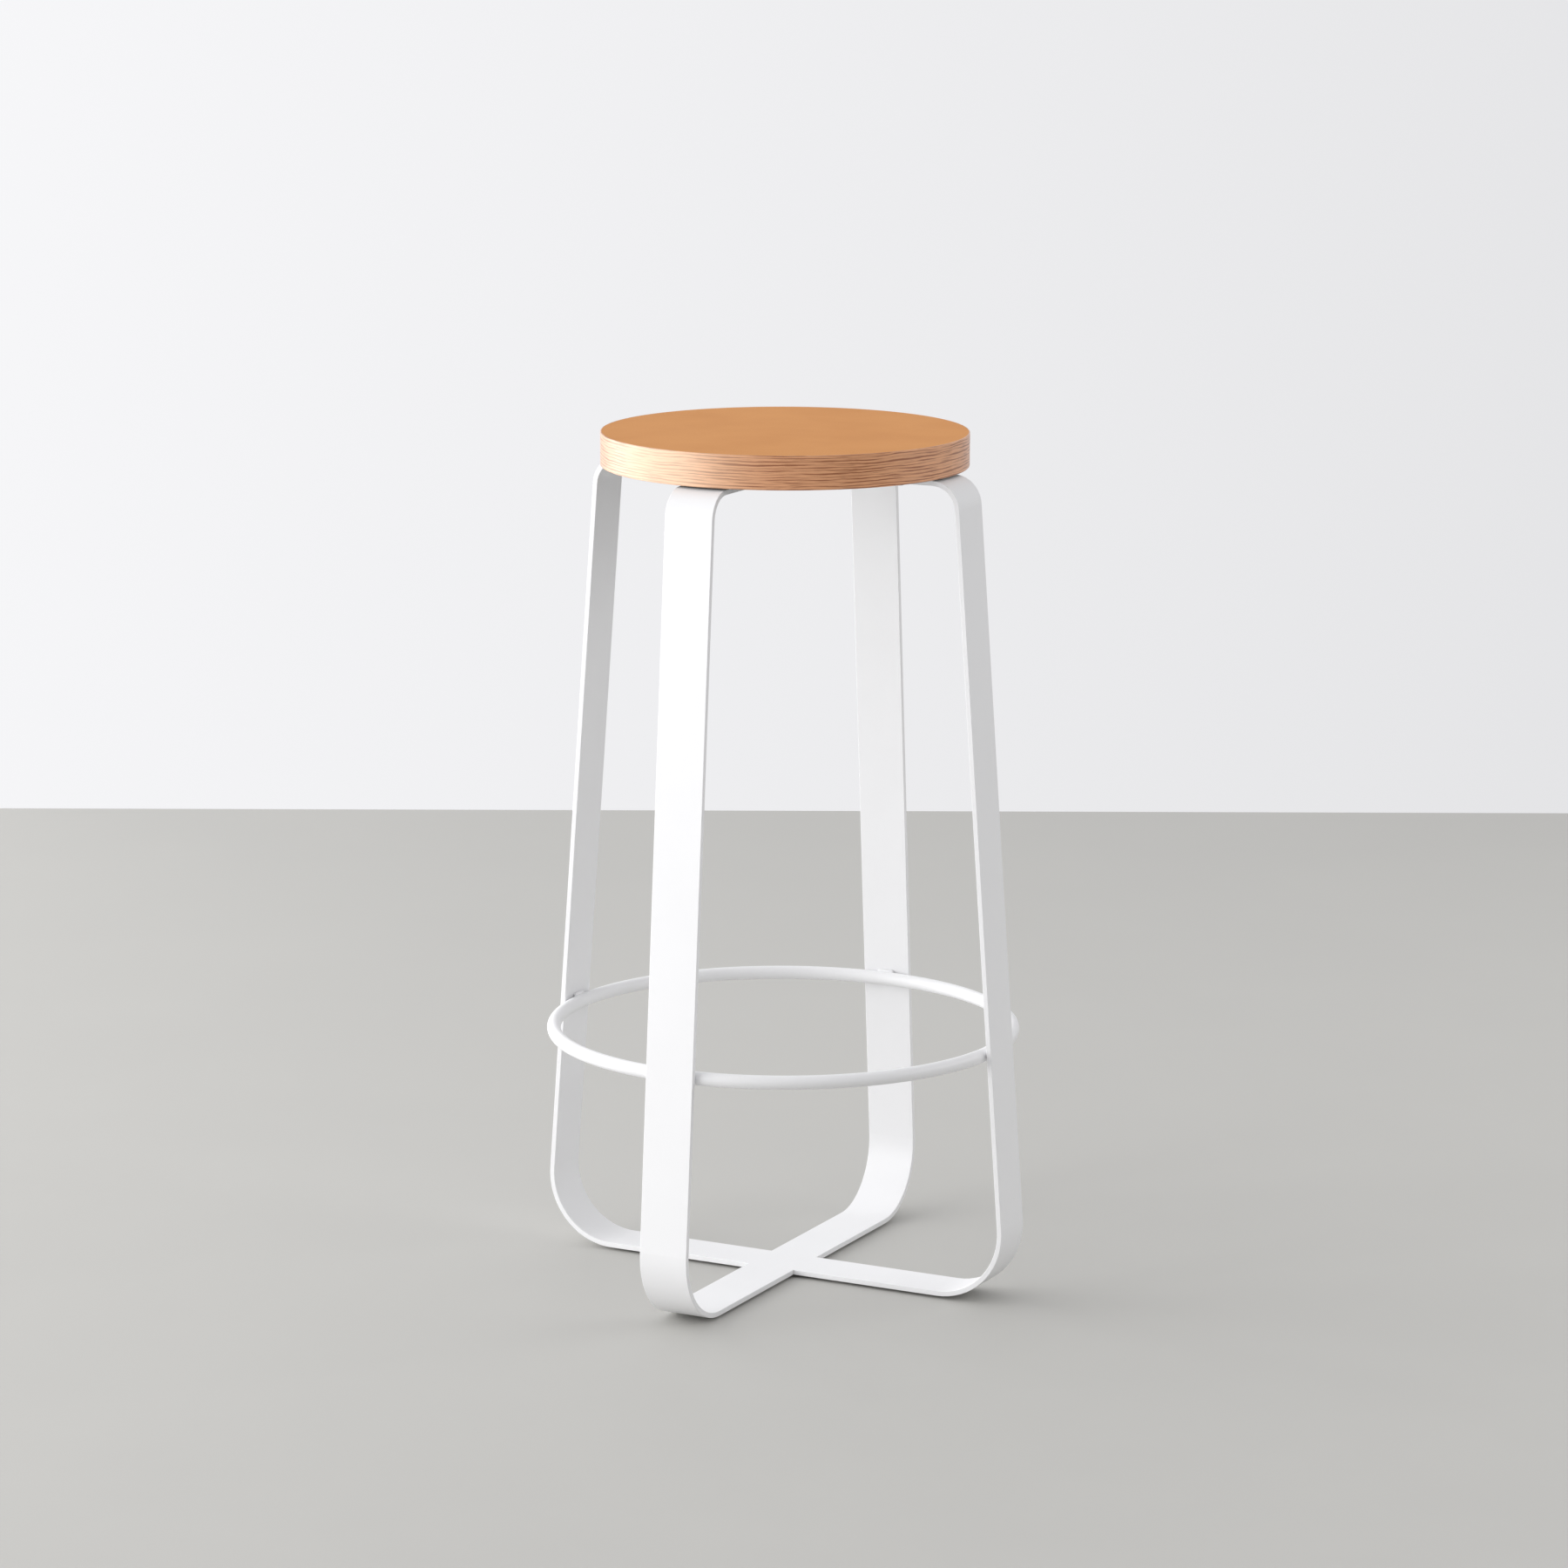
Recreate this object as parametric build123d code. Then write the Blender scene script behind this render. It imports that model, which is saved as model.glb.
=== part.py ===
"""Bar-height stool: a welded frame of bent flat bar with a round foot ring, and a round oak-edged
seat that is screwed down on the crossing of the bars.

Millimetres. +Z is up, and the origin is on the floor under the middle of the seat. The frame's two
bent loops lie along X and Y.
"""

from build123d import *
import math
import os

# Seat
SEAT_HEIGHT = 750.0  # floor to the top of the seat
SEAT_DIAMETER = 319.0
SEAT_THICKNESS = 29.0
TOP_SHEET = 2.0  # furniture linoleum on the top
BACKING_SHEET = 1.0  # balancing sheet underneath
EDGE_BAND = 1.0  # oak veneer lipping round the edge
EDGE_BAND_BEVEL = 0.4  # trimmed off the lipping's two outer edges

# Frame, with each bend and reach given on the bar's outer face
BAR_WIDTH = 45.0
BAR_THICKNESS = 4.5
BAR_ARRIS = 0.5  # rolled edge of the bar
LEG_REACH_TOP = 175.5  # from the axis to the leg, where it would meet the frame's top plane
LEG_REACH_BASE = 229.0  # from the axis to the leg, where it would meet the base's lower plane
TOP_BEND_RADIUS = 25.5
BASE_BEND_RADIUS = 62.0
SEAM_WELD_DEPTH = 1.8  # of the groove on each face where a half loop butts the whole one

# Foot ring
RING_HEIGHT = 222.0  # floor to the ring's centre
RING_ROD_DIAMETER = 12.0
RING_ROOT_GAP = 0.1  # between the ring and the legs that it is welded to
BEAD_RADIUS = 2.2
BEAD_LENGTH = 16.0
BEAD_ANGLE = 48.0  # degrees round the rod, from the line where it meets the leg to the bead

# Foot pads
PAD_DIAMETER = 30.0
PAD_THICKNESS = 2.5
PAD_CHAMFER = 0.4
PAD_SETBACK = 4.0  # from the start of the base bend to the pad's rim

# Seat fixings, one set on each arm of the crossing
FIXING_REACH = 110.0  # from the axis to the screws
SCREW_DIAMETER = 6.0
SCREW_LENGTH = 20.0  # under the head
SCREW_HEAD_DIAMETER = 10.5
SCREW_HEAD_HEIGHT = 3.3
SCREW_HEAD_BEVEL = 2.0
SCREW_SOCKET = 4.0  # hexagon across its flats
SCREW_SOCKET_DEPTH = 2.0
SCREW_HOLE_CLEARANCE = 0.25  # on the radius, in the bars, washers and spacers
THREAD_CLEARANCE = 0.05
WASHER_DIAMETER = 12.0
WASHER_THICKNESS = 1.6
SPACER_DIAMETER = 25.0
SPACER_THICKNESS = 1.5  # keeps the seat off the paint, and makes the shadow gap
INSERT_DIAMETER = 10.0
INSERT_LENGTH = 13.0
INSERT_CHAMFER = 0.8
INSERT_SLOT_WIDTH = 1.4
INSERT_SLOT_DEPTH = 1.6
INSERT_HOLE_DEPTH = 14.5

# Heights worked out from the sizes above
SEAT_UNDERSIDE = SEAT_HEIGHT - SEAT_THICKNESS
CORE_BOTTOM = SEAT_UNDERSIDE + BACKING_SHEET
CORE_TOP = SEAT_HEIGHT - TOP_SHEET
FRAME_TOP = SEAT_UNDERSIDE - SPACER_THICKNESS
TOP_BAR_UNDERSIDE = FRAME_TOP - BAR_THICKNESS
BASE_BOTTOM = PAD_THICKNESS
BASE_BAR_TOP = BASE_BOTTOM + BAR_THICKNESS
SCREW_HEAD_SEAT = TOP_BAR_UNDERSIDE - WASHER_THICKNESS

# Radii and angles worked out from the sizes above
SEAT_RADIUS = SEAT_DIAMETER / 2
CORE_RADIUS = SEAT_RADIUS - EDGE_BAND
ROD_RADIUS = RING_ROD_DIAMETER / 2
SCREW_HOLE_RADIUS = SCREW_DIAMETER / 2 + SCREW_HOLE_CLEARANCE
LEG_SPLAY = (LEG_REACH_BASE - LEG_REACH_TOP) / (FRAME_TOP - BASE_BOTTOM)
LEG_ANGLE = math.atan(LEG_SPLAY)
BASE_BEND_START = (
    LEG_REACH_BASE - LEG_SPLAY * BASE_BEND_RADIUS - BASE_BEND_RADIUS / math.cos(LEG_ANGLE)
)
LEG_DIRECTIONS = {"right": 0, "back": 90, "left": 180, "front": 270}


def disc(radius, bottom, top):
    """Upright cylinder on the stool's axis, between two heights."""
    upright = (Align.CENTER, Align.CENTER, Align.MIN)
    return Pos(0, 0, bottom) * Cylinder(radius, top - bottom, align=upright)


def ring_disc(radius, hole_radius, bottom, top):
    """Upright cylinder with a hole right through it."""
    return disc(radius, bottom, top) - disc(hole_radius, bottom, top)


def on_each_leg(piece):
    """Four copies of a piece, turned about the stool's axis to the four legs."""
    return [Rot(0, 0, angle) * piece for angle in LEG_DIRECTIONS.values()]


def at_fixings(piece):
    """Four copies of a piece that was drawn on the axis, moved out to the four seat fixings."""
    return on_each_leg(Pos(FIXING_REACH, 0, 0) * piece)


# Frame


def bent_loop(plane):
    """One closed loop of flat bar: a splayed outline with two tight and two wide bends."""
    corners = [
        (-LEG_REACH_BASE, BASE_BOTTOM),
        (LEG_REACH_BASE, BASE_BOTTOM),
        (LEG_REACH_TOP, FRAME_TOP),
        (-LEG_REACH_TOP, FRAME_TOP),
    ]
    outline = make_face(Polyline(*corners, close=True))
    outline = fillet(outline.vertices().group_by(Axis.Y)[-1], TOP_BEND_RADIUS)
    outline = fillet(outline.vertices().group_by(Axis.Y)[0], BASE_BEND_RADIUS)
    bar = outline - offset(outline, -BAR_THICKNESS)
    return extrude(plane * bar, BAR_WIDTH / 2, both=True)


def crossed_loops():
    """Both loops as one form, flush at their two crossings, with rolled edges and screw holes."""
    loops = bent_loop(Plane.YZ) + bent_loop(Plane.XZ)
    rolled_edges = loops.edges().filter_by(Axis.Z, reverse=True)
    loops = fillet(rolled_edges, BAR_ARRIS)
    return loops - at_fixings(disc(SCREW_HOLE_RADIUS, TOP_BAR_UNDERSIDE, FRAME_TOP))


def seam_rods(lower_face, upper_face):
    """Square rods laid along a crossing's two seams, on both faces, standing on edge."""
    side = SEAM_WELD_DEPTH * math.sqrt(2)
    rod = Rot(0, 45, 0) * Box(side, BAR_WIDTH, side)
    seams = (-BAR_WIDTH / 2, BAR_WIDTH / 2)
    return [Pos(x, 0, z) * rod for x in seams for z in (lower_face, upper_face)]


def frame_pieces():
    """The whole loop, the two halves that butt against its sides, and the flush seam welds."""
    loops = crossed_loops()
    top_rods = seam_rods(TOP_BAR_UNDERSIDE, FRAME_TOP)
    base_rods = seam_rods(BASE_BOTTOM, BASE_BAR_TOP)
    bars = loops - top_rods - base_rods
    reach = 2 * LEG_REACH_BASE
    middle = Box(BAR_WIDTH, reach, 2 * SEAT_HEIGHT)
    outward = (Align.MIN, Align.CENTER, Align.CENTER)
    side = Pos(BAR_WIDTH / 2, 0, 0) * Box(reach, reach, 2 * SEAT_HEIGHT, align=outward)
    return {
        "frame_loop": bars & middle,
        "frame_half_right": bars & side,
        "frame_half_left": bars & (Rot(0, 0, 180) * side),
        "top_seam_welds": Compound(children=[loops & rod for rod in top_rods]),
        "base_seam_welds": Compound(children=[loops & rod for rod in base_rods]),
    }


def ring_radius():
    """The ring's centre line lies inside the legs, so that the rod just clears their inner faces."""
    leg_outer = LEG_REACH_TOP + LEG_SPLAY * (FRAME_TOP - RING_HEIGHT)
    inset = BAR_THICKNESS + RING_ROOT_GAP + ROD_RADIUS
    return leg_outer - inset / math.cos(LEG_ANGLE)


def foot_ring():
    return Pos(0, 0, RING_HEIGHT) * Torus(ring_radius(), ROD_RADIUS)


def ring_welds(frame, ring):
    """Two fillet beads at each leg, in the creases above and below the ring."""
    bead = Rot(90, 0, 0) * Cylinder(BEAD_RADIUS, BEAD_LENGTH)
    reach = ROD_RADIUS + BEAD_RADIUS / 3
    beads = []
    for turn in (BEAD_ANGLE, -BEAD_ANGLE):
        slope = LEG_ANGLE + math.radians(turn)
        place = Pos(ring_radius() + reach * math.cos(slope), 0, RING_HEIGHT + reach * math.sin(slope))
        beads += on_each_leg(place * bead)
    neighbours = [ring, *frame.values()]
    return Compound(children=[bead - neighbours for bead in beads])


def foot_pad(direction):
    """Thin round glide stuck under the flat of a base bar, close to the bend."""
    reach = BASE_BEND_START - PAD_SETBACK - PAD_DIAMETER / 2
    pad = disc(PAD_DIAMETER / 2, 0, PAD_THICKNESS)
    pad = chamfer(pad.edges().group_by(Axis.Z)[0], PAD_CHAMFER)
    return Rot(0, 0, direction) * Pos(reach, 0, 0) * pad


# Seat fixings


def seat_screws():
    """Button-head socket screws that come up through the bars into the seat's inserts."""
    head_bottom = SCREW_HEAD_SEAT - SCREW_HEAD_HEIGHT
    head = disc(SCREW_HEAD_DIAMETER / 2, head_bottom, SCREW_HEAD_SEAT)
    head = chamfer(head.edges().group_by(Axis.Z)[0], SCREW_HEAD_BEVEL)
    screw = head + disc(SCREW_DIAMETER / 2, SCREW_HEAD_SEAT, SCREW_HEAD_SEAT + SCREW_LENGTH)
    socket = RegularPolygon(SCREW_SOCKET / 2, 6, major_radius=False)
    screw -= extrude(Pos(0, 0, head_bottom) * socket, SCREW_SOCKET_DEPTH)
    return Compound(children=at_fixings(screw))


def seat_washers():
    washer = ring_disc(WASHER_DIAMETER / 2, SCREW_HOLE_RADIUS, SCREW_HEAD_SEAT, TOP_BAR_UNDERSIDE)
    return Compound(children=at_fixings(washer))


def seat_spacers():
    """Thin rubber washers between the bars and the seat."""
    spacer = ring_disc(SPACER_DIAMETER / 2, SCREW_HOLE_RADIUS, FRAME_TOP, SEAT_UNDERSIDE)
    return Compound(children=at_fixings(spacer))


def seat_inserts():
    """Threaded sleeves driven into the core, each with a slot across its lower end."""
    top = SEAT_UNDERSIDE + INSERT_LENGTH
    insert = disc(INSERT_DIAMETER / 2, SEAT_UNDERSIDE, top)
    insert = chamfer(insert.edges().group_by(Axis.Z)[-1], INSERT_CHAMFER)
    insert -= disc(SCREW_DIAMETER / 2 + THREAD_CLEARANCE, SEAT_UNDERSIDE, top)
    slot = Box(INSERT_DIAMETER, INSERT_SLOT_WIDTH, 2 * INSERT_SLOT_DEPTH)
    insert -= Pos(0, 0, SEAT_UNDERSIDE) * slot
    return Compound(children=at_fixings(insert))


# Seat


def insert_holes(bottom, top):
    return at_fixings(disc(INSERT_DIAMETER / 2 + THREAD_CLEARANCE, bottom, top))


def seat_core():
    """Plywood disc with four blind holes for the inserts."""
    core = disc(CORE_RADIUS, CORE_BOTTOM, CORE_TOP)
    return core - insert_holes(CORE_BOTTOM, SEAT_UNDERSIDE + INSERT_HOLE_DEPTH)


def seat_top_sheet():
    return disc(CORE_RADIUS, CORE_TOP, SEAT_HEIGHT)


def seat_backing():
    return disc(CORE_RADIUS, SEAT_UNDERSIDE, CORE_BOTTOM) - insert_holes(SEAT_UNDERSIDE, CORE_BOTTOM)


def seat_edge_band():
    """Oak lipping, the seat's full thickness, with both outer edges trimmed to a small bevel."""
    band = disc(SEAT_RADIUS, SEAT_UNDERSIDE, SEAT_HEIGHT)
    band = chamfer(band.edges().filter_by(GeomType.CIRCLE), EDGE_BAND_BEVEL)
    return band - disc(CORE_RADIUS, SEAT_UNDERSIDE, SEAT_HEIGHT)


def main():
    frame = frame_pieces()
    ring = foot_ring()
    parts = {
        **frame,
        "foot_ring": ring,
        "ring_welds": ring_welds(frame, ring),
        **{f"foot_pad_{name}": foot_pad(turn) for name, turn in LEG_DIRECTIONS.items()},
        "seat_screws": seat_screws(),
        "seat_washers": seat_washers(),
        "seat_spacers": seat_spacers(),
        "seat_inserts": seat_inserts(),
        "seat_backing": seat_backing(),
        "seat_core": seat_core(),
        "seat_edge_band": seat_edge_band(),
        "seat_top_sheet": seat_top_sheet(),
    }
    os.makedirs("parts", exist_ok=True)
    for name, shape in parts.items():
        export_step(shape, f"parts/{name}.step")


main()
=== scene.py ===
"""Looks of the bar-height stool: finishes for its CAD pieces, rippled weld beads and a plain studio.

Metres, in the CAD model's own frame: +Z is up, and the origin is on the floor under the seat.
"""

import math

import bmesh
import bpy
from bpy.props import FloatProperty, FloatVectorProperty, PointerProperty
from mathutils import Matrix, Vector


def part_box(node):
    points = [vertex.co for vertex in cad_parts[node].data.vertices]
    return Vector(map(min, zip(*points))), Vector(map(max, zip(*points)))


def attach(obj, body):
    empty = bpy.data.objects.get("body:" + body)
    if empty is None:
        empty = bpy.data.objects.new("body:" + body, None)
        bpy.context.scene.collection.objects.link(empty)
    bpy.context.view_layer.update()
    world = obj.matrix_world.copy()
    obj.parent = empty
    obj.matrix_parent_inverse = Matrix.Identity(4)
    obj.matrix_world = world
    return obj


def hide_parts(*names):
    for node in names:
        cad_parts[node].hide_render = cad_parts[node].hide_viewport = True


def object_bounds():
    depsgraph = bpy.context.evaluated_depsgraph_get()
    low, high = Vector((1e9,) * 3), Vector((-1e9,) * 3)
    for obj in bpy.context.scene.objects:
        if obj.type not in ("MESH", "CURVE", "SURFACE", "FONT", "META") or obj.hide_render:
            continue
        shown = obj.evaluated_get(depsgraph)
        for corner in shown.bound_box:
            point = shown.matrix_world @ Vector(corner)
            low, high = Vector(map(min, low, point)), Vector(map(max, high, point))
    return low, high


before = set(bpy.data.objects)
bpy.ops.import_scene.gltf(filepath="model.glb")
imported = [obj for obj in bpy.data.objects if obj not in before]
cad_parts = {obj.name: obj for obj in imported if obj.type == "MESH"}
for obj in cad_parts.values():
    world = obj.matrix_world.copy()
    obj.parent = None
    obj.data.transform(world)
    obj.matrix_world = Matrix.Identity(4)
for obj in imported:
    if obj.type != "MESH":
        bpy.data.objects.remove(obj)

bl_info = {
    "name": "Bar Stool Looks",
    "version": (1, 0, 0),
    "blender": (4, 5, 0),
    "location": "3D View > Sidebar > Stool",
    "description": "Finishes, weld beads and a plain studio for a flat-bar stool with a round seat",
    "category": "Object",
}

CAD_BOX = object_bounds()
SEAT_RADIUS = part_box("seat_edge_band")[1].x
RING_LOW, RING_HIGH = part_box("foot_ring")
ROD_RADIUS = (RING_HIGH.z - RING_LOW.z) / 2
RING_RADIUS = RING_HIGH.x - ROD_RADIUS
RING_HEIGHT = (RING_HIGH.z + RING_LOW.z) / 2
LEG_COUNT = 4
FULL_TURN = 2 * math.pi
QUARTER_TURN = math.pi / 2
PAINT_NAME = "powder_coat_satin_white"
ONE_BAND = FULL_TURN / 20  # wave scale that gives one band for each unit of the pattern
MIX_SHARE, MIX_FIRST, MIX_SECOND = 0, 6, 7  # a mix node's inputs when it mixes colours
MIX_RESULT = 2  # and its output


# Settings that a user would change


def linear(hex_colour):
    """Linear red, green and blue of an sRGB hex colour."""
    channels = [int(hex_colour[i : i + 2], 16) / 255 for i in (1, 3, 5)]
    return tuple(c / 12.92 if c <= 0.04045 else ((c + 0.055) / 1.055) ** 2.4 for c in channels)


def length(name, description, millimetres):
    """A size, shown in metres and written here in millimetres."""
    return FloatProperty(
        name=name,
        description=description,
        default=millimetres / 1000,
        min=0.0,
        precision=5,
        subtype="DISTANCE",
        unit="LENGTH",
    )


def angle(name, description, degrees):
    """An angle, written here in degrees."""
    return FloatProperty(
        name=name,
        description=description,
        default=math.radians(degrees),
        subtype="ANGLE",
        unit="ROTATION",
    )


def colour(name, description, hex_colour):
    """A colour, written here as an sRGB hex value."""
    return FloatVectorProperty(
        name=name,
        description=description,
        default=linear(hex_colour),
        size=3,
        min=0.0,
        max=1.0,
        subtype="COLOR",
    )


def brightness(name, description, value):
    """Strength of the light from the surround."""
    return FloatProperty(name=name, description=description, default=value, min=0.0)


def power(name, description, watts):
    """Power of a light."""
    return FloatProperty(name=name, description=description, default=watts, min=0.0, unit="POWER")


class StoolSizes(bpy.types.PropertyGroup):
    """Sizes of the surface patterns and of the weld beads."""

    peel: length("Orange peel", "Spacing of the paint's ripples", 3.0)
    peel_depth: length("Peel depth", "Height of the paint's ripples", 0.02)
    film_patch: length("Film patch", "Size of the areas where the paint film varies", 70.0)
    fleck: length("Linoleum fleck", "Size of the fine flecks in the linoleum", 1.2)
    fleck_depth: length("Fleck depth", "Height of the flecks in the linoleum", 0.02)
    cloud: length("Linoleum cloud", "Size of the soft clouds in the linoleum", 60.0)
    strip_turn: angle("Strip turn", "Turn of the oak strip that brings its joint to the back", 62.97)
    grain_spacing: length("Grain spacing", "Between the oak's dark streaks", 2.6)
    grain_run: length("Grain run", "Length of the oak's dark streaks", 55.0)
    grain_wander: length("Grain wander", "How far the streaks drift up and down", 2.4)
    wander_run: length("Wander run", "Length over which the streaks drift", 70.0)
    tone_run: length("Tone run", "Length over which the oak turns from deep to pale", 230.0)
    tone_start: length("Tone start", "Where along a long sheet of veneer the strip was cut", 1840.0)
    pore_width: length("Pore width", "Width of the oak's open pores", 0.6)
    pore_run: length("Pore run", "Length of the oak's open pores", 22.0)
    pore_depth: length("Pore depth", "Depth of the oak's open pores", 0.12)
    ply: length("Ply", "Thickness of one layer of the plywood", 1.45)
    ply_step: length("Ply step", "How far the layers cut across their grain sink in", 0.05)
    laminate_pebble: length("Laminate pebble", "Size of the laminate's pebbles", 1.4)
    laminate_depth: length("Laminate depth", "Height of the laminate's pebbles", 0.08)
    zinc_crystal: length("Zinc crystal", "Size of the plating's crystals", 0.9)
    brass_mark: length("Brass mark", "Size of the brass's tarnish marks", 1.2)
    metal_depth: length("Metal depth", "Height of the marks on zinc and brass", 0.01)
    rubber_pebble: length("Rubber pebble", "Size of the rubber's pebbles", 1.1)
    rubber_depth: length("Rubber depth", "Height of the rubber's pebbles", 0.06)
    bead_radius: length("Bead radius", "Radius of the weld beads at the ring", 2.2)
    bead_length: length("Bead length", "Length of the weld beads at the ring", 16.0)
    bead_ripple: length("Bead ripple", "Spacing of the weld beads' ripples", 1.7)
    bead_angle: angle("Bead angle", "Round the rod, from the leg to the bead", 48.0)
    leg_splay: angle("Leg splay", "Lean of the legs from upright", 4.27)


class StoolColours(bpy.types.PropertyGroup):
    """Colours of the finishes and of the studio."""

    paint: colour("Paint", "White powder coat", "#EDEDEE")
    paint_thin: colour("Thin paint", "Powder coat where the film is thinnest", "#E9E9EA")
    linoleum: colour("Linoleum", "Tan furniture linoleum", "#D69452")
    linoleum_deep: colour("Linoleum fleck", "Fine flecks in the linoleum", "#CF8C4A")
    oak: colour("Oak", "Wood between the streaks", "#DE9F70")
    oak_pale: colour("Pale oak", "Palest wood", "#F8D8B4")
    oak_streak: colour("Oak streak", "Late wood", "#93511F")
    oak_pore: colour("Oak pore", "Open pores", "#8E4E1E")
    ply_pale: colour("Pale ply", "Plywood layer with its grain along the edge", "#DCC49A")
    ply_dark: colour("Dark ply", "Plywood layer cut across its grain", "#A98657")
    backing: colour("Backing", "Dark laminate under the seat", "#6F6860")
    zinc: colour("Zinc", "Zinc plating", "#C9CCCE")
    brass: colour("Brass", "Turned brass", "#D8B15C")
    rubber: colour("Rubber", "Black rubber", "#1C1C1C")
    floor: colour("Floor", "Pale floor", "#BBBAB6")
    backdrop: colour("Backdrop", "White backdrop", "#FBFBFD")


class StoolStage(bpy.types.PropertyGroup):
    """Camera, floor and light."""

    camera_azimuth: angle("Camera azimuth", "Round the stool, from its front leg", 27.03)
    camera_distance: length("Camera distance", "From the stool's axis, along the floor", 4679.0)
    camera_height: length("Camera height", "Above the floor", 1381.3)
    camera_tilt: angle("Camera tilt", "Below the horizon", 11.387)
    camera_roll: angle("Camera roll", "Round the line of sight", 0.181)
    camera_lens: FloatProperty(
        name="Lens", description="Focal length on a 36 mm wide sensor", default=125.4, unit="CAMERA"
    )
    floor_reach: length("Floor reach", "From the stool's axis to the floor's edges", 2010.0)
    floor_cloud: length("Floor cloud", "Size of the soft clouds in the floor", 250.0)
    light_distance: length("Light distance", "From the stool's middle to each light", 3000.0)
    key_power: power("Key power", "Wide soft light on the left", 117.0)
    key_bearing: angle("Key bearing", "Round the stool, from the camera to the key light", -93.0)
    key_lift: angle("Key lift", "How far the key light stands above the stool's middle", 11.0)
    key_width: length("Key width", "Width of the key light", 5400.0)
    key_height: length("Key height", "Height of the key light", 2000.0)
    fill_power: power("Fill power", "Weak soft light on the right", 25.0)
    fill_bearing: angle("Fill bearing", "Round the stool, from the camera to the fill light", 88.0)
    fill_lift: angle("Fill lift", "How far the fill light stands above the stool's middle", 20.0)
    fill_width: length("Fill width", "Width of the fill light", 2400.0)
    fill_height: length("Fill height", "Height of the fill light", 1300.0)
    ambience: brightness("Ambience", "Light from all round", 0.775)
    ambience_back: brightness("Backdrop gain", "More light from behind", 0.12)
    ambience_left: brightness("Left gain", "More light from the left", 0.50)
    ambience_up: brightness("Top gain", "More light from above", 0.06)


# Building blocks of the materials


def add(tree, kind, inputs=None, **settings):
    """Adds a node with its settings, and gives its inputs a link or a value each."""
    node = tree.nodes.new(kind)
    for name, value in settings.items():
        setattr(node, name, value)
    for socket, source in (inputs or {}).items():
        if isinstance(source, bpy.types.NodeSocket):
            tree.links.new(source, node.inputs[socket])
        else:
            node.inputs[socket].default_value = source
    return node


def opaque(rgb):
    """A colour property with the alpha that a colour socket wants."""
    return (*rgb, 1.0)


def start_material(name, inputs):
    """A fresh material with one surface shader; returns it with its tree and its shader's sockets."""
    material = bpy.data.materials.new(name)
    material.use_nodes = True
    tree = material.node_tree
    tree.nodes.clear()
    shader = add(tree, "ShaderNodeBsdfPrincipled", inputs)
    add(tree, "ShaderNodeOutputMaterial", {"Surface": shader.outputs["BSDF"]})
    return material, tree, shader.inputs


def finish_surface(tree, sockets, tone, gloss, relief, sunk=False):
    """Ties patterns to the shader's colour, roughness and bump.

    tone is a pattern and the two colours that it runs between, gloss a pattern and the two roughness
    values that it runs between, and relief a pattern with its strength and its depth.
    """
    share, first, second = tone
    mixed = {MIX_SHARE: share, MIX_FIRST: first, MIX_SECOND: second}
    blend = add(tree, "ShaderNodeMix", mixed, data_type="RGBA")
    tree.links.new(blend.outputs[MIX_RESULT], sockets["Base Color"])
    pattern, low, high = gloss
    rough = add(tree, "ShaderNodeMapRange", {"Value": pattern, "To Min": low, "To Max": high})
    tree.links.new(rough.outputs[0], sockets["Roughness"])
    height, strength, depth = relief
    raised = {"Height": height, "Strength": strength, "Distance": depth}
    bump = add(tree, "ShaderNodeBump", raised, invert=sunk)
    tree.links.new(bump.outputs["Normal"], sockets["Normal"])


def grained_material(name, rgb, grit, depth, tone_change, inputs, roughness_range):
    """A plain material with a random grit in its tone, its roughness and its surface."""
    material, tree, sockets = start_material(name, inputs)
    place = add(tree, "ShaderNodeTexCoord").outputs["Object"]
    noise = {"Vector": place, "Scale": 1 / grit, "Detail": 4.0, "Roughness": 0.6}
    grain = add(tree, "ShaderNodeTexNoise", noise).outputs["Fac"]
    deep = tuple(channel * (1 - tone_change) for channel in rgb)
    finish_surface(
        tree,
        sockets,
        tone=(grain, opaque(deep), opaque(rgb)),
        gloss=(grain, *roughness_range),
        relief=(grain, 0.5, depth),
    )
    return material


def dress(material, *names):
    """Gives CAD nodes their finish."""
    for name in names:
        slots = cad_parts[name].data.materials
        slots.clear()
        slots.append(material)


# Materials


def powder_coat(sizes, colours):
    """Polyester powder coat, sprayed dry and baked: satin white, with a faint orange peel.

    The film is a little thicker in some places than in others, which shows as a slight change of
    tone and gloss.
    """
    material, tree, sockets = start_material(PAINT_NAME, {"IOR": 1.5})
    place = add(tree, "ShaderNodeTexCoord").outputs["Object"]
    patches = {"Vector": place, "Scale": 1 / sizes.film_patch, "Detail": 4.0}
    film = add(tree, "ShaderNodeTexNoise", patches).outputs["Fac"]
    ripples = {"Vector": place, "Scale": 1 / sizes.peel, "Detail": 1.0}
    peel = add(tree, "ShaderNodeTexNoise", ripples).outputs["Fac"]
    finish_surface(
        tree,
        sockets,
        tone=(film, opaque(colours.paint_thin), opaque(colours.paint)),
        gloss=(film, 0.46, 0.36),
        relief=(peel, 0.5, sizes.peel_depth),
    )
    return material


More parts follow.
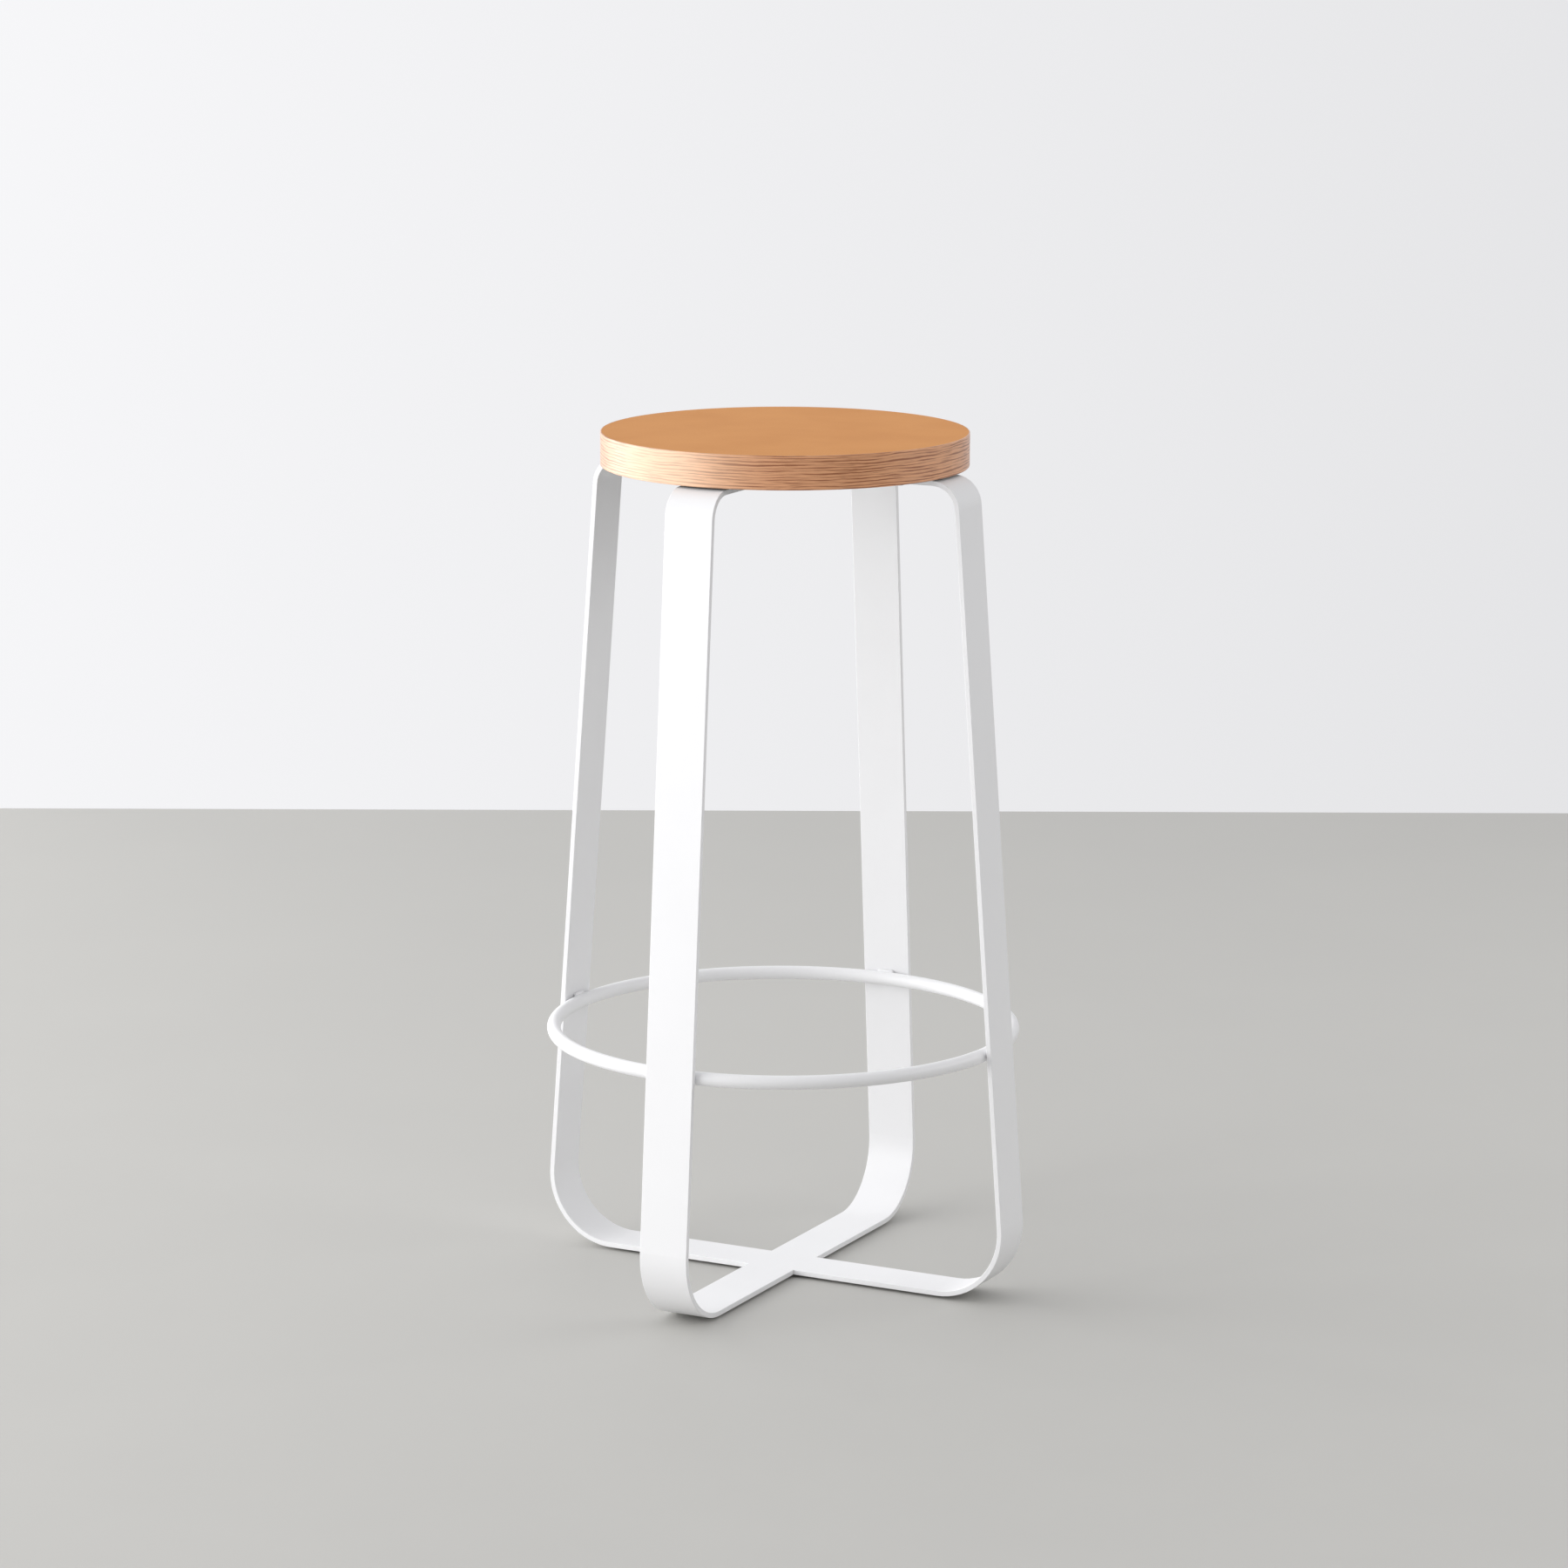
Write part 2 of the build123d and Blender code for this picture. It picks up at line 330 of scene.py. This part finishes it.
def linoleum(sizes, colours):
    """Furniture linoleum, calendered: silky matt tan with fine flecks and soft clouds of tone."""
    silky = {"IOR": 1.48, "Specular IOR Level": 0.3}
    material, tree, sockets = start_material("linoleum_calendered_tan", silky)
    place = add(tree, "ShaderNodeTexCoord").outputs["Object"]
    flecks = {"Vector": place, "Scale": 1 / sizes.fleck, "Detail": 3.0, "Roughness": 0.7}
    fleck = add(tree, "ShaderNodeTexNoise", flecks).outputs["Fac"]
    clouds = {"Vector": place, "Scale": 1 / sizes.cloud, "Detail": 3.0}
    cloud = add(tree, "ShaderNodeTexNoise", clouds).outputs["Fac"]
    both = add(tree, "ShaderNodeMath", {0: fleck, 1: cloud}, operation="ADD").outputs[0]
    spread = {"Value": both, "From Min": 0.75, "From Max": 1.25}
    deep = add(tree, "ShaderNodeMapRange", spread).outputs[0]
    finish_surface(
        tree,
        sockets,
        tone=(deep, opaque(colours.linoleum), opaque(colours.linoleum_deep)),
        gloss=(fleck, 0.62, 0.78),
        relief=(fleck, 0.3, sizes.fleck_depth),
    )
    return material


def unrolled_edge(tree, sizes):
    """Where a point lies on the seat's edge: its place along the unrolled strip, and its height."""
    place = add(tree, "ShaderNodeTexCoord").outputs["Object"]
    turn = {"Vector": place, "Rotation": (0, 0, sizes.strip_turn)}
    turned = add(tree, "ShaderNodeMapping", turn).outputs[0]
    axes = add(tree, "ShaderNodeSeparateXYZ", {"Vector": turned}).outputs
    bearing = add(tree, "ShaderNodeMath", {0: axes["Y"], 1: axes["X"]}, operation="ARCTAN2").outputs[0]
    along = add(tree, "ShaderNodeMath", {0: bearing, 1: SEAT_RADIUS}, operation="MULTIPLY").outputs[0]
    return along, axes["Z"]


def drifting_grain(tree, sizes, along, height):
    """Place on the strip, with its height shifted so that lines along the grain drift up and down.

    The drift changes twice as fast across the grain as along it, and moves a line by up to the grain's
    wander to either side.
    """
    strip = add(tree, "ShaderNodeCombineXYZ", {"X": along, "Y": height}).outputs[0]
    scale = (1 / sizes.wander_run, 2 / sizes.wander_run, 1.0)
    drift_place = add(tree, "ShaderNodeMapping", {"Vector": strip, "Scale": scale}).outputs[0]
    waves = {"Vector": drift_place, "Scale": 1.0, "Detail": 2.0}
    drift = add(tree, "ShaderNodeTexNoise", waves).outputs["Fac"]
    lift = {0: drift, 1: 2 * sizes.grain_wander, 2: height}
    shifted = add(tree, "ShaderNodeMath", lift, operation="MULTIPLY_ADD").outputs[0]
    return add(tree, "ShaderNodeCombineXYZ", {"X": along, "Y": shifted}).outputs[0]


def late_wood(tree, sizes, grain):
    """Share of dark late wood: long ragged lines that fade out here and there."""
    scale = (1 / sizes.grain_run, 1 / sizes.grain_spacing, 1.0)
    place = add(tree, "ShaderNodeMapping", {"Vector": grain, "Scale": scale}).outputs[0]
    ragged = {"Distortion": 6.0, "Detail": 5.0, "Detail Scale": 1.2, "Detail Roughness": 0.72}
    lines = {"Vector": place, "Scale": ONE_BAND, **ragged}
    bands = add(tree, "ShaderNodeTexWave", lines, bands_direction="Y").outputs["Fac"]
    narrow = {"Value": bands, "From Min": 0.5, "From Max": 0.92}
    line = add(tree, "ShaderNodeMapRange", narrow, interpolation_type="SMOOTHSTEP").outputs[0]
    stretches = {"Vector": place, "Scale": 1.3, "Detail": 1.0}
    fade = add(tree, "ShaderNodeTexNoise", stretches).outputs["Fac"]
    faded = {"Value": fade, "From Min": 0.34, "From Max": 0.58, "To Min": 0.15}
    kept = add(tree, "ShaderNodeMapRange", faded, interpolation_type="SMOOTHSTEP").outputs[0]
    return add(tree, "ShaderNodeMath", {0: line, 1: kept}, operation="MULTIPLY").outputs[0]


def open_pores(tree, sizes, grain):
    """Share of open pores: short fine dashes along the grain, drawn wide enough to show."""
    scale = (1 / sizes.pore_run, 1 / sizes.pore_width, 1.0)
    place = add(tree, "ShaderNodeMapping", {"Vector": grain, "Scale": scale}).outputs[0]
    dashes = {"Vector": place, "Scale": 1.0, "Detail": 1.0}
    dash = add(tree, "ShaderNodeTexNoise", dashes).outputs["Fac"]
    sparse = {"Value": dash, "From Min": 0.52, "From Max": 0.68, "To Max": 0.6}
    return add(tree, "ShaderNodeMapRange", sparse, interpolation_type="SMOOTHSTEP").outputs[0]


def pale_stretches(tree, sizes, along):
    """Share of pale wood, which comes and goes slowly along the strip."""
    cut = {0: along, 1: 1 / sizes.tone_run, 2: sizes.tone_start / sizes.tone_run}
    on_sheet = add(tree, "ShaderNodeMath", cut, operation="MULTIPLY_ADD").outputs[0]
    slow = {"W": on_sheet, "Scale": 1.0, "Detail": 0.0}
    tone = add(tree, "ShaderNodeTexNoise", slow, noise_dimensions="1D").outputs["Fac"]
    sparse = {"Value": tone, "From Min": 0.5, "From Max": 0.75, "To Max": 0.4}
    return add(tree, "ShaderNodeMapRange", sparse, interpolation_type="SMOOTHSTEP").outputs[0]


def oak(sizes, colours):
    """Oak veneer, sliced and lacquered satin: its grain runs round the seat in drifting streaks.

    The pattern is drawn on the unrolled edge, with its butt joint at the back.
    """
    body = {"IOR": 1.5, "Specular IOR Level": 0.45}
    lacquer = {"Coat Weight": 1.0, "Coat Roughness": 0.46}
    material, tree, sockets = start_material("oak_veneer_satin_lacquer", {**body, **lacquer})
    along, height = unrolled_edge(tree, sizes)
    grain = drifting_grain(tree, sizes, along, height)
    streaks = late_wood(tree, sizes, grain)
    pores = open_pores(tree, sizes, grain)
    pale = pale_stretches(tree, sizes, along)
    wood = opaque(colours.oak)
    for share, rgb in ((streaks, colours.oak_streak), (pores, colours.oak_pore)):
        mixed = {MIX_SHARE: share, MIX_FIRST: wood, MIX_SECOND: opaque(rgb)}
        wood = add(tree, "ShaderNodeMix", mixed, data_type="RGBA").outputs[MIX_RESULT]
    finish_surface(
        tree,
        sockets,
        tone=(pale, wood, opaque(colours.oak_pale)),
        gloss=(streaks, 0.36, 0.50),
        relief=(pores, 0.6, sizes.pore_depth),
        sunk=True,
    )
    return material


def plywood(sizes, colours):
    """Birch plywood, turned to a disc: thin layers that are pale and dark by turns on the edge."""
    material, tree, sockets = start_material("birch_plywood_turned", {"IOR": 1.5})
    place = add(tree, "ShaderNodeTexCoord").outputs["Object"]
    pairs = {"Vector": place, "Scale": ONE_BAND / (2 * sizes.ply), "Distortion": 0.6, "Detail": 2.0}
    layers = add(tree, "ShaderNodeTexWave", pairs, bands_direction="Z").outputs["Fac"]
    finish_surface(
        tree,
        sockets,
        tone=(layers, opaque(colours.ply_pale), opaque(colours.ply_dark)),
        gloss=(layers, 0.62, 0.8),
        relief=(layers, 0.5, sizes.ply_step),
        sunk=True,
    )
    return material


def laminate(sizes, colours):
    """High-pressure laminate, pressed against a textured plate: dark, matt and finely pebbled."""
    return grained_material(
        "laminate_pressed_dark",
        rgb=colours.backing,
        grit=sizes.laminate_pebble,
        depth=sizes.laminate_depth,
        tone_change=0.35,
        inputs={"IOR": 1.5},
        roughness_range=(0.5, 0.75),
    )


def zinc_plate(sizes, colours):
    """Steel, zinc-plated: bright, with a crystal grain that dulls it in patches.

    The crystals are drawn larger than real ones, so that they show.
    """
    return grained_material(
        "steel_zinc_plated",
        rgb=colours.zinc,
        grit=sizes.zinc_crystal,
        depth=sizes.metal_depth,
        tone_change=0.18,
        inputs={"Metallic": 1.0},
        roughness_range=(0.22, 0.42),
    )


def brass(sizes, colours):
    """Brass, turned: warm and bright, with a slight tarnish in small marks."""
    return grained_material(
        "brass_turned",
        rgb=colours.brass,
        grit=sizes.brass_mark,
        depth=sizes.metal_depth,
        tone_change=0.2,
        inputs={"Metallic": 1.0},
        roughness_range=(0.25, 0.45),
    )


def rubber(sizes, colours):
    """Black rubber, moulded: a dull skin with a trace of bloom and a fine pebble.

    The pebbles are drawn larger than real ones, so that they show.
    """
    return grained_material(
        "rubber_moulded_black",
        rgb=colours.rubber,
        grit=sizes.rubber_pebble,
        depth=sizes.rubber_depth,
        tone_change=0.4,
        inputs={"IOR": 1.52},
        roughness_range=(0.62, 0.85),
    )


def concrete(stage, colours):
    """Concrete, floated smooth and sealed: matt and level, with wide soft clouds of tone."""
    return grained_material(
        "concrete_floated_sealed",
        rgb=colours.floor,
        grit=stage.floor_cloud,
        depth=0.0,
        tone_change=0.06,
        inputs={"IOR": 1.45},
        roughness_range=(0.55, 0.7),
    )


# Pieces of the stool


class STOOL_OT_frame(bpy.types.Operator):
    """Paints the bent bars, their ground seams and the foot ring"""

    bl_idname = "stool.frame"
    bl_label = "Frame and Foot Ring"

    def execute(self, context):
        paint = powder_coat(context.scene.stool_sizes, context.scene.stool_colours)
        dress(paint, "frame_loop", "frame_half_right", "frame_half_left")
        dress(paint, "top_seam_welds", "base_seam_welds", "foot_ring", "ring_welds")
        return {"FINISHED"}


def bead_radius_at(share, ripples, radius):
    """Radius at a share of a weld bead's length: blunt ends, and ripples that each overlap the last."""
    blunt_power = 6
    end_share = 0.25
    ripple_depth = 0.10
    taper = math.sqrt(max(0.0, 1 - abs(2 * share - 1) ** blunt_power))
    phase = (share * ripples) % 1.0
    ripple = 1 - ripple_depth + ripple_depth * math.sqrt(1 - phase)
    return radius * (end_share + (1 - end_share) * taper) * ripple


def bead_mesh(sizes):
    """One weld bead along Y: a round bar with tapered ends and a row of overlapping ripples."""
    around = 14
    steps_per_ripple = 5
    ripples = round(sizes.bead_length / sizes.bead_ripple)
    stations = ripples * steps_per_ripple
    turns = [FULL_TURN * k / around for k in range(around)]
    shape = bmesh.new()
    rings = []
    for station in range(stations + 1):
        share = station / stations
        radius = bead_radius_at(share, ripples, sizes.bead_radius)
        y = (share - 0.5) * sizes.bead_length
        rings.append([shape.verts.new((radius * math.cos(t), y, radius * math.sin(t))) for t in turns])
    for lower, upper in zip(rings, rings[1:]):
        for k in range(around):
            following = (k + 1) % around
            shape.faces.new((lower[k], lower[following], upper[following], upper[k]))
    shape.faces.new(rings[0][::-1])
    shape.faces.new(rings[-1])
    bmesh.ops.recalc_face_normals(shape, faces=shape.faces)
    mesh = bpy.data.meshes.new("ring_weld_bead")
    shape.to_mesh(mesh)
    shape.free()
    return mesh


class STOOL_OT_ring_beads(bpy.types.Operator):
    """Lays a rippled weld bead above and below the foot ring at each leg"""

    bl_idname = "stool.ring_beads"
    bl_label = "Ring Weld Beads"

    def execute(self, context):
        sizes = context.scene.stool_sizes
        bead = bead_mesh(sizes)
        shape = bmesh.new()
        reach = ROD_RADIUS + sizes.bead_radius / 3  # the bead's middle lies just off the rod
        for turn in (sizes.bead_angle, -sizes.bead_angle):
            slope = sizes.leg_splay + turn
            out = RING_RADIUS + reach * math.cos(slope)
            up = RING_HEIGHT + reach * math.sin(slope)
            for leg in range(LEG_COUNT):
                copy = bead.copy()
                spin = Matrix.Rotation(leg * FULL_TURN / LEG_COUNT, 4, "Z")
                copy.transform(spin @ Matrix.Translation((out, 0, up)))
                shape.from_mesh(copy)
                bpy.data.meshes.remove(copy)
        shape.to_mesh(bead)
        shape.free()
        bead.shade_smooth()
        beads = bpy.data.objects.new("ring_weld_beads", bead)
        context.scene.collection.objects.link(beads)
        bead.materials.append(bpy.data.materials[PAINT_NAME])
        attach(beads, "root")
        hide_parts("ring_welds")
        return {"FINISHED"}


class STOOL_OT_seat_top(bpy.types.Operator):
    """Lays the tan linoleum on the seat"""

    bl_idname = "stool.seat_top"
    bl_label = "Seat Top"

    def execute(self, context):
        dress(linoleum(context.scene.stool_sizes, context.scene.stool_colours), "seat_top_sheet")
        return {"FINISHED"}


class STOOL_OT_seat_edge(bpy.types.Operator):
    """Bands the seat's edge with oak"""

    bl_idname = "stool.seat_edge"
    bl_label = "Seat Edge"

    def execute(self, context):
        dress(oak(context.scene.stool_sizes, context.scene.stool_colours), "seat_edge_band")
        return {"FINISHED"}


class STOOL_OT_seat_core(bpy.types.Operator):
    """Finishes the plywood core and the laminate under it"""

    bl_idname = "stool.seat_core"
    bl_label = "Seat Core and Backing"

    def execute(self, context):
        sizes = context.scene.stool_sizes
        colours = context.scene.stool_colours
        dress(plywood(sizes, colours), "seat_core")
        dress(laminate(sizes, colours), "seat_backing")
        return {"FINISHED"}


class STOOL_OT_fixings(bpy.types.Operator):
    """Finishes the screws, washers and inserts under the seat"""

    bl_idname = "stool.fixings"
    bl_label = "Seat Fixings"

    def execute(self, context):
        sizes = context.scene.stool_sizes
        colours = context.scene.stool_colours
        dress(zinc_plate(sizes, colours), "seat_screws", "seat_washers")
        dress(brass(sizes, colours), "seat_inserts")
        return {"FINISHED"}


class STOOL_OT_rubber_parts(bpy.types.Operator):
    """Finishes the spacers under the seat and the pads under the base bars"""

    bl_idname = "stool.rubber_parts"
    bl_label = "Spacers and Foot Pads"

    def execute(self, context):
        black = rubber(context.scene.stool_sizes, context.scene.stool_colours)
        dress(black, "seat_spacers")
        dress(black, "foot_pad_front", "foot_pad_right", "foot_pad_back", "foot_pad_left")
        return {"FINISHED"}


# Studio


def studio_floor(stage, colours):
    """A square pale floor, turned to face the camera, that ends where the backdrop begins."""
    shape = bmesh.new()
    bmesh.ops.create_grid(shape, x_segments=1, y_segments=1, size=stage.floor_reach)
    turn = Matrix.Rotation(stage.camera_azimuth, 3, "Z")
    bmesh.ops.rotate(shape, verts=shape.verts, cent=(0, 0, 0), matrix=turn)
    mesh = bpy.data.meshes.new("studio_floor")
    shape.to_mesh(mesh)
    shape.free()
    mesh.materials.append(concrete(stage, colours))
    floor = bpy.data.objects.new("studio_floor", mesh)
    bpy.context.scene.collection.objects.link(floor)


def studio_light(name, stage, watts, bearing, lift, width, height):
    """A soft panel that faces the middle of the stool, at a bearing from the camera."""
    lamp = bpy.data.lights.new(name, "AREA")
    lamp.shape = "RECTANGLE"
    lamp.size = width
    lamp.size_y = height
    lamp.energy = watts
    light = bpy.data.objects.new(name, lamp)
    turn = stage.camera_azimuth + bearing
    flat = math.cos(lift)
    away = Vector((math.sin(turn) * flat, -math.cos(turn) * flat, math.sin(lift)))
    middle = (CAD_BOX[0] + CAD_BOX[1]) / 2
    light.location = middle + away * stage.light_distance
    light.rotation_euler = away.to_track_quat("Z", "Y").to_euler()
    light.visible_camera = False
    bpy.context.scene.collection.objects.link(light)


def studio_lights(stage):
    """A strong panel on the left and a weak one on the right."""
    studio_light(
        "key_light",
        stage,
        watts=stage.key_power,
        bearing=stage.key_bearing,
        lift=stage.key_lift,
        width=stage.key_width,
        height=stage.key_height,
    )
    studio_light(
        "fill_light",
        stage,
        watts=stage.fill_power,
        bearing=stage.fill_bearing,
        lift=stage.fill_lift,
        width=stage.fill_width,
        height=stage.fill_height,
    )


def studio_backdrop(stage, colours):
    """A white surround, brightest on the left, and a little brighter behind and above than opposite."""
    world = bpy.data.worlds.new("white_studio")
    world.use_nodes = True
    tree = world.node_tree
    tree.nodes.clear()
    back = Vector((-math.sin(stage.camera_azimuth), math.cos(stage.camera_azimuth), 0))
    left = Vector((-math.cos(stage.camera_azimuth), -math.sin(stage.camera_azimuth), 0))
    up = Vector((0, 0, 1))
    lean = stage.ambience_back * back + stage.ambience_left * left + stage.ambience_up * up
    direction = add(tree, "ShaderNodeTexCoord").outputs["Generated"]
    facing = add(tree, "ShaderNodeVectorMath", {0: direction, 1: lean}, operation="DOT_PRODUCT")
    gain = {0: facing.outputs["Value"], 1: stage.ambience}
    strength = add(tree, "ShaderNodeMath", gain, operation="ADD").outputs[0]
    white = {"Color": opaque(colours.backdrop), "Strength": strength}
    background = add(tree, "ShaderNodeBackground", white)
    add(tree, "ShaderNodeOutputWorld", {"Surface": background.outputs[0]})
    bpy.context.scene.world = world


def studio_camera(stage):
    """A long lens above the seat, looking down at the stool."""
    lens = bpy.data.cameras.new("studio_camera")
    lens.lens = stage.camera_lens
    camera = bpy.data.objects.new("studio_camera", lens)
    away = Vector((math.sin(stage.camera_azimuth), -math.cos(stage.camera_azimuth), 0))
    place = away * stage.camera_distance + Vector((0, 0, stage.camera_height))
    camera.matrix_world = (
        Matrix.Translation(place)
        @ Matrix.Rotation(stage.camera_azimuth, 4, "Z")
        @ Matrix.Rotation(QUARTER_TURN - stage.camera_tilt, 4, "X")
        @ Matrix.Rotation(stage.camera_roll, 4, "Z")
    )
    bpy.context.scene.collection.objects.link(camera)
    bpy.context.scene.camera = camera


class STOOL_OT_stage(bpy.types.Operator):
    """Sets up the floor, the backdrop, the lights and the camera"""

    bl_idname = "stool.stage"
    bl_label = "Studio"

    def execute(self, context):
        stage = context.scene.stool_stage
        colours = context.scene.stool_colours
        studio_floor(stage, colours)
        studio_backdrop(stage, colours)
        studio_lights(stage)
        studio_camera(stage)
        context.scene.view_settings.view_transform = "Standard"
        return {"FINISHED"}


# Add-on


OPERATORS = (
    STOOL_OT_frame,
    STOOL_OT_ring_beads,
    STOOL_OT_seat_top,
    STOOL_OT_seat_edge,
    STOOL_OT_seat_core,
    STOOL_OT_fixings,
    STOOL_OT_rubber_parts,
    STOOL_OT_stage,
)
SETTINGS = {"stool_sizes": StoolSizes, "stool_colours": StoolColours, "stool_stage": StoolStage}


class STOOL_PT_looks(bpy.types.Panel):
    """Lists the stool's pieces"""

    bl_idname = "STOOL_PT_looks"
    bl_label = "Bar Stool"
    bl_space_type = "VIEW_3D"
    bl_region_type = "UI"
    bl_category = "Stool"

    def draw(self, context):
        for operator in OPERATORS:
            self.layout.operator(operator.bl_idname)


CLASSES = (*SETTINGS.values(), *OPERATORS, STOOL_PT_looks)


def register():
    for cls in CLASSES:
        bpy.utils.register_class(cls)
    for name, group in SETTINGS.items():
        setattr(bpy.types.Scene, name, PointerProperty(type=group))


def unregister():
    for name in SETTINGS:
        delattr(bpy.types.Scene, name)
    for cls in reversed(CLASSES):
        bpy.utils.unregister_class(cls)


def main():
    register()
    bpy.ops.stool.frame()
    bpy.ops.stool.ring_beads()
    bpy.ops.stool.seat_top()
    bpy.ops.stool.seat_edge()
    bpy.ops.stool.seat_core()
    bpy.ops.stool.fixings()
    bpy.ops.stool.rubber_parts()
    bpy.ops.stool.stage()


if __name__ == "__main__":
    main()
